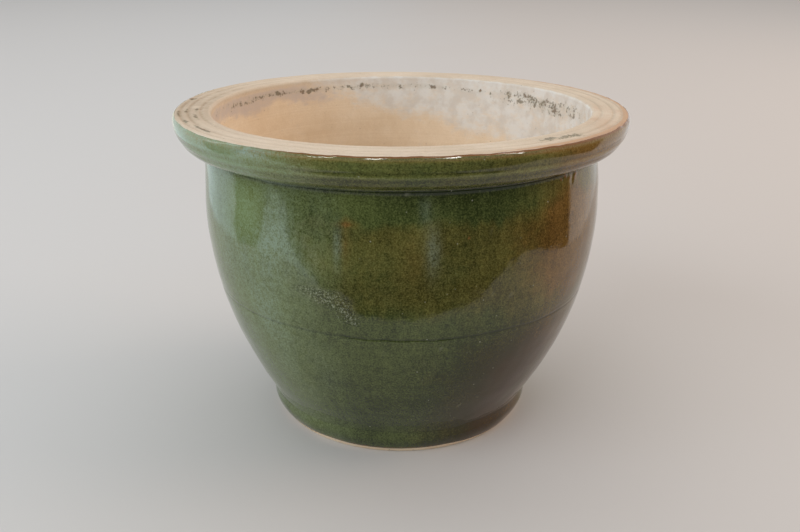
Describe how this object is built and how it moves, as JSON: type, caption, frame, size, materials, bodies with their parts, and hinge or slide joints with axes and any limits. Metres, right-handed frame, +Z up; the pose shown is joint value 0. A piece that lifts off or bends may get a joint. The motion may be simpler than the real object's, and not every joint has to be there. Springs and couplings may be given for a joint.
{
  "type": "bonsai pot",
  "caption": "Deep round stoneware bonsai pot with a thick flat-topped flanged rim, low foot, central drain hole and green glaze outside.",
  "frame": {"origin": "centre of the foot's rest plane", "axes": "+Z up along the axis that the pot was turned about; X and Y are level and equivalent"},
  "size_m": [0.2983, 0.2984, 0.215],
  "materials": {
    "buff_stoneware": "bare fired clay, matte, with mineral staining",
    "rim_stoneware": "bare fired clay, turned smooth",
    "green_glaze": "glossy translucent mottled green"
  },
  "bodies": {
    "root": {"foot_ring": "buff_stoneware", "base_disc": "buff_stoneware", "lower_wall": "buff_stoneware", "upper_wall": "buff_stoneware", "rim_flange": "rim_stoneware", "glaze_coat": "green_glaze"}
  },
  "joints": []
}
